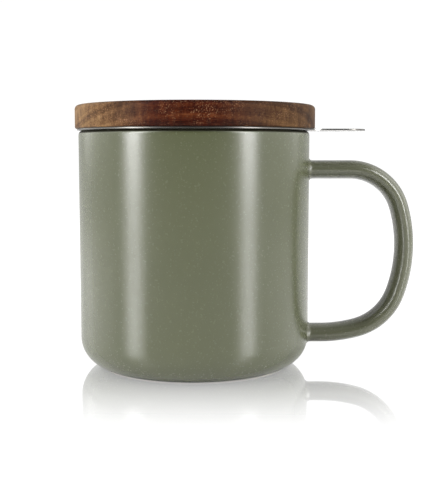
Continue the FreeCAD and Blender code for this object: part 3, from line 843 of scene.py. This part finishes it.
def acacia_material():
    """Acacia, cut along the grain: rings round a far, tilted heart line, fibres, pores and colour drift."""
    material, tree, output = new_material("acacia")
    place = add_node(tree, "ShaderNodeTexCoord").outputs["Object"]
    wander = noise(tree, place, 14.0, 2.0)

    # rings: the distance from the heart line, a little wandering, makes bands of one-dimensional noise
    trunk = stretched(tree, place, in_Location=(0.0, 0.055, 0.060), in_Rotation=(0.0, 0.06, 0.20))
    _, from_heart, above_heart = split(tree, trunk)
    wavy = maths(tree, "ADD", span_of(tree, from_heart, above_heart), maths(tree, "MULTIPLY", wander, 0.016))
    rings = add_node(
        tree, "ShaderNodeTexNoise", noise_dimensions="1D", in_W=maths(tree, "MULTIPLY", wavy, 330.0),
        in_Scale=1.0, in_Detail=3.0, in_Roughness=0.6,
    ).outputs["Fac"]
    fibres = noise(tree, stretched(tree, place, in_Scale=(110.0, 1900.0, 1900.0)), 1.0, 4.0, 0.65)
    figure = noise(tree, stretched(tree, place, in_Scale=(520.0, 520.0, 170.0)), 1.0, 3.0, 0.6)
    tone = maths(tree, "ADD", maths(tree, "MULTIPLY", rings, 0.48), maths(tree, "MULTIPLY", fibres, 0.32))
    tone = maths(tree, "ADD", maths(tree, "SUBTRACT", tone, 0.075), maths(tree, "MULTIPLY", figure, 0.35))
    heart_wood = wood_shades(tree, tone, [
        (0.007, 0.0012, 0.0006, 1),
        (0.017, 0.0022, 0.0006, 1),
        (0.033, 0.0062, 0.0014, 1),
        (0.076, 0.022, 0.007, 1),
    ])
    brown_wood = wood_shades(tree, tone, [
        (0.014, 0.006, 0.002, 1),
        (0.028, 0.012, 0.004, 1),
        (0.048, 0.023, 0.008, 1),
        (0.090, 0.048, 0.019, 1),
    ])
    # these pale shades are partly sapwood and partly painted sheen from the left light
    sap_wood_and_sheen = wood_shades(tree, tone, [
        (0.040, 0.019, 0.007, 1),
        (0.084, 0.044, 0.017, 1),
        (0.138, 0.080, 0.034, 1),
        (0.240, 0.150, 0.070, 1),
    ])

    # drift: brown towards the handle, and at the other end a pale tone, partly sapwood and partly painted
    # sheen from the left light
    drift = maths(tree, "ADD", split(tree, place)[0], maths(tree, "MULTIPLY", wander, 0.020))
    browned = blended(tree, ramp_between(tree, drift, 0.012, 0.046), heart_wood, brown_wood)
    paled_and_sheen = blended(tree, ramp_between(tree, drift, -0.034, -0.006, 1.0, 0.0), browned, sap_wood_and_sheen)

    # pores: dark pits along the grain; glints: pale specks in patches, painted glints of the wood's sheen
    along_grain = stretched(tree, place, in_Scale=(420.0, 2400.0, 2400.0))
    pores = add_node(tree, "ShaderNodeTexVoronoi", in_Scale=1.0, in_Vector=along_grain)
    pore_share = ramp_between(tree, pores.outputs["Distance"], 0.12, 0.36, 0.65, 0.0)
    pitted = blended(tree, pore_share, paled_and_sheen, (0.030, 0.012, 0.006, 1))
    glint_specks = ramp_between(tree, noise(tree, place, 2300.0, 1.0), 0.55, 0.72, 0.0, 0.42)
    glint_patches = ramp_between(tree, noise(tree, place, 110.0, 2.0), 0.34, 0.60)
    glinted = blended(tree, maths(tree, "MULTIPLY", glint_specks, glint_patches), pitted, (0.26, 0.14, 0.075, 1))

    grain = maths(tree, "SUBTRACT", fibres, pore_share)
    bump = add_node(tree, "ShaderNodeBump", in_Strength=0.4, in_Distance=grain_depth, in_Height=grain)
    wood = add_node(
        tree, "ShaderNodeBsdfPrincipled", in_IOR=1.48, in_Specular_IOR_Level=0.05, in_Base_Color=glinted,
        in_Roughness=ramp_between(tree, fibres, 0.3, 0.7, 0.42, 0.56), in_Normal=bump.outputs[0],
    )
    tree.links.new(wood.outputs[0], output.inputs[0])
    return material


lid_corners = [
    (0, plug_bottom), (plug_radius, plug_bottom), (plug_radius, groove_bottom),
    (groove_radius, groove_bottom), (groove_radius, groove_top), (plug_radius, groove_top),
    (plug_radius, lid_under), (lid_radius, lid_under), (lid_radius, lid_top), (0, lid_top),
]
lid_rounds = [
    0, plug_round, groove_lip, groove_round, groove_round, groove_lip, plug_root, lid_under_round,
    lid_top_round, 0,
]
lid_profile = filled_in(rounded(lid_corners, lid_rounds, 10), 0.003)
lid_piece = turned("acacia_lid", lid_profile, acacia_material(), shift=lid_shift)
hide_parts("lid_disc")
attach(lid_piece, "lid")


# Seal: a moulded ring of clear-white silicone stretched into the lid's groove, with two soft ribs.
seal_outer = 0.0382
dip_middle, dip_half, dip_depth = 0.0015, 0.0004, 0.0007


def silicone_material():
    """Milky silicone: soft, slightly see-through and a little dusty."""
    material, tree, output = new_material("silicone")
    dust = noise(tree, add_node(tree, "ShaderNodeTexCoord").outputs["Object"], 700.0, 3.0)
    rubber = add_node(
        tree, "ShaderNodeBsdfPrincipled", in_IOR=1.41, in_Subsurface_Weight=0.3,
        in_Subsurface_Radius=(0.002, 0.002, 0.002),
        in_Base_Color=blended(tree, dust, (0.50, 0.50, 0.48, 1), (0.60, 0.60, 0.58, 1)),
        in_Roughness=ramp_between(tree, dust, 0.3, 0.7, 0.42, 0.6),
    )
    tree.links.new(rubber.outputs[0], output.inputs[0])
    return material


seal_corners = [
    (groove_radius, groove_bottom), (seal_outer, groove_bottom),
    (seal_outer, groove_bottom + dip_middle - dip_half), (seal_outer - dip_depth, groove_bottom + dip_middle),
    (seal_outer, groove_bottom + dip_middle + dip_half), (seal_outer, groove_top),
    (groove_radius, groove_top),
]
seal_profile = rounded(seal_corners, [0.0002, 0.0005, 0.0004, 0.0003, 0.0004, 0.0005, 0.0002], 6)
seal_piece = turned("silicone_seal", seal_profile, silicone_material(), closed=True, shift=lid_shift)
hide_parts("lid_seal")
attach(seal_piece, "lid")
